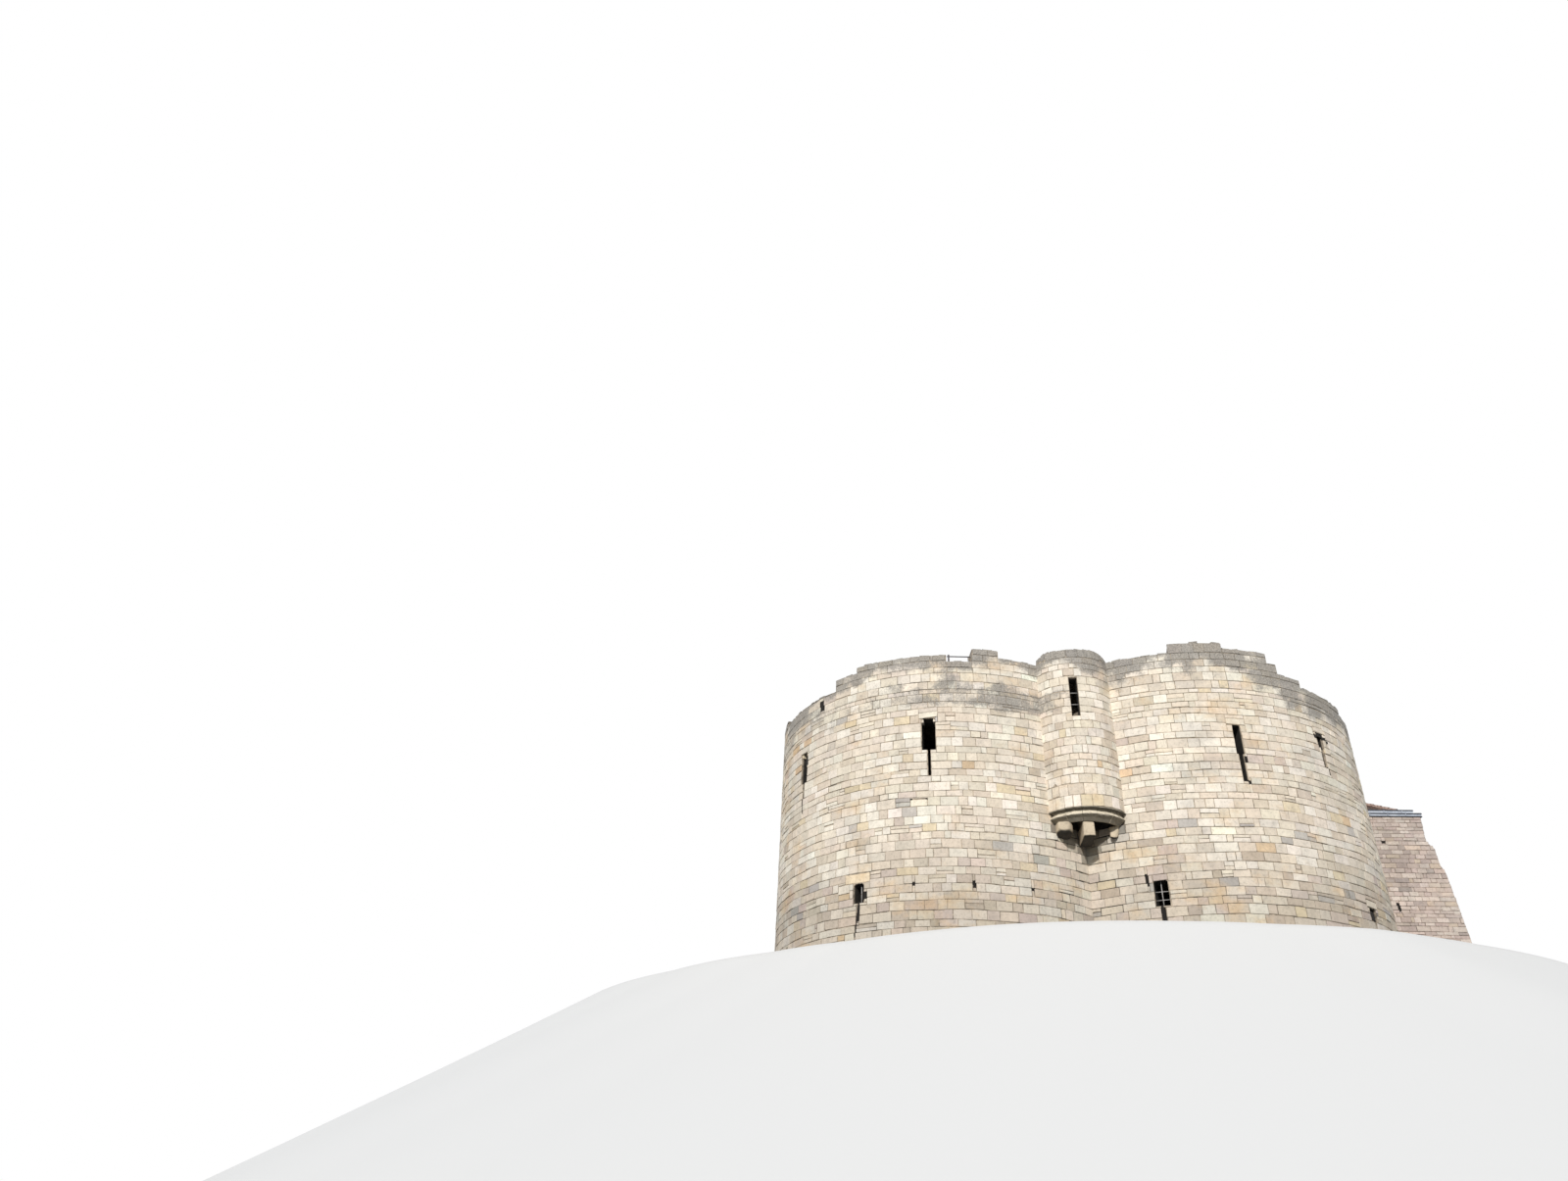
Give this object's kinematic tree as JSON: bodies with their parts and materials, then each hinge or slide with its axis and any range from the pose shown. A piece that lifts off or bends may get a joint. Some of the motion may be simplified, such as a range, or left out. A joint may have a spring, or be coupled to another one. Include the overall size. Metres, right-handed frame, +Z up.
{
  "type": "castle keep",
  "caption": "Quatrefoil stone castle keep with corbelled corner turrets, narrow loops, a broken parapet round a timber deck, and an entrance forebuilding under a hipped tiled roof.",
  "frame": {"origin": "centre of the round lobes in plan, on the plane that the walls stand on", "axes": "+Z up; -Y out through the entrance doorway of the forebuilding; -X towards the turret on the left side"},
  "size_m": [20.5966, 23.8483, 10.2],
  "materials": {
    "keep_stone": "weathered limestone ashlar",
    "turret_stone": "weathered limestone ashlar",
    "forebuilding_stone": "weathered rubble in thin courses",
    "paving": "worn flagstones",
    "oak": "weathered oak",
    "lead": "weathered lead sheet",
    "roof_tiles": "plain clay tiles",
    "rail_iron": "dark painted iron"
  },
  "bodies": {
    "root": {"back_left_parapet": "keep_stone", "back_left_wall_back": "keep_stone", "back_left_wall_middle": "keep_stone", "back_left_wall_side": "keep_stone", "back_left_wall_walk": "paving", "back_right_parapet": "keep_stone", "back_right_wall_back": "keep_stone", "back_right_wall_middle": "keep_stone", "back_right_wall_side": "keep_stone", "back_right_wall_walk": "paving", "back_turret_corbels": "turret_stone", "back_turret_ring": "turret_stone", "back_turret_shaft": "turret_stone", "forebuilding_front_wall_left": "forebuilding_stone", "forebuilding_front_wall_over_door": "forebuilding_stone", "forebuilding_front_wall_right": "forebuilding_stone", "forebuilding_ground_floor": "paving", "forebuilding_lead_eaves": "lead", "forebuilding_left_buttress": "forebuilding_stone", "forebuilding_left_wall": "forebuilding_stone", "forebuilding_right_buttress": "forebuilding_stone", "forebuilding_right_wall": "forebuilding_stone", "forebuilding_roof": "roof_tiles", "forebuilding_upper_floor": "paving", "front_left_parapet": "keep_stone", "front_left_wall_front": "keep_stone", "front_left_wall_middle": "keep_stone", "front_left_wall_side": "keep_stone", "front_left_wall_walk": "paving", "front_right_parapet": "keep_stone", "front_right_wall_front": "keep_stone", "front_right_wall_middle": "keep_stone", "front_right_wall_side": "keep_stone", "front_right_wall_walk": "paving", "ground_floor": "paving", "left_turret_corbels": "turret_stone", "left_turret_ring": "turret_stone", "left_turret_shaft": "turret_stone", "parapet_guard_rails": "rail_iron", "right_turret_corbels": "turret_stone", "right_turret_ring": "turret_stone", "right_turret_shaft": "turret_stone", "roof_deck_boards": "oak", "roof_deck_girders": "oak", "roof_deck_joists": "oak", "upper_floor_boards": "oak", "upper_floor_girders": "oak", "upper_floor_joists": "oak"}
  },
  "joints": []
}
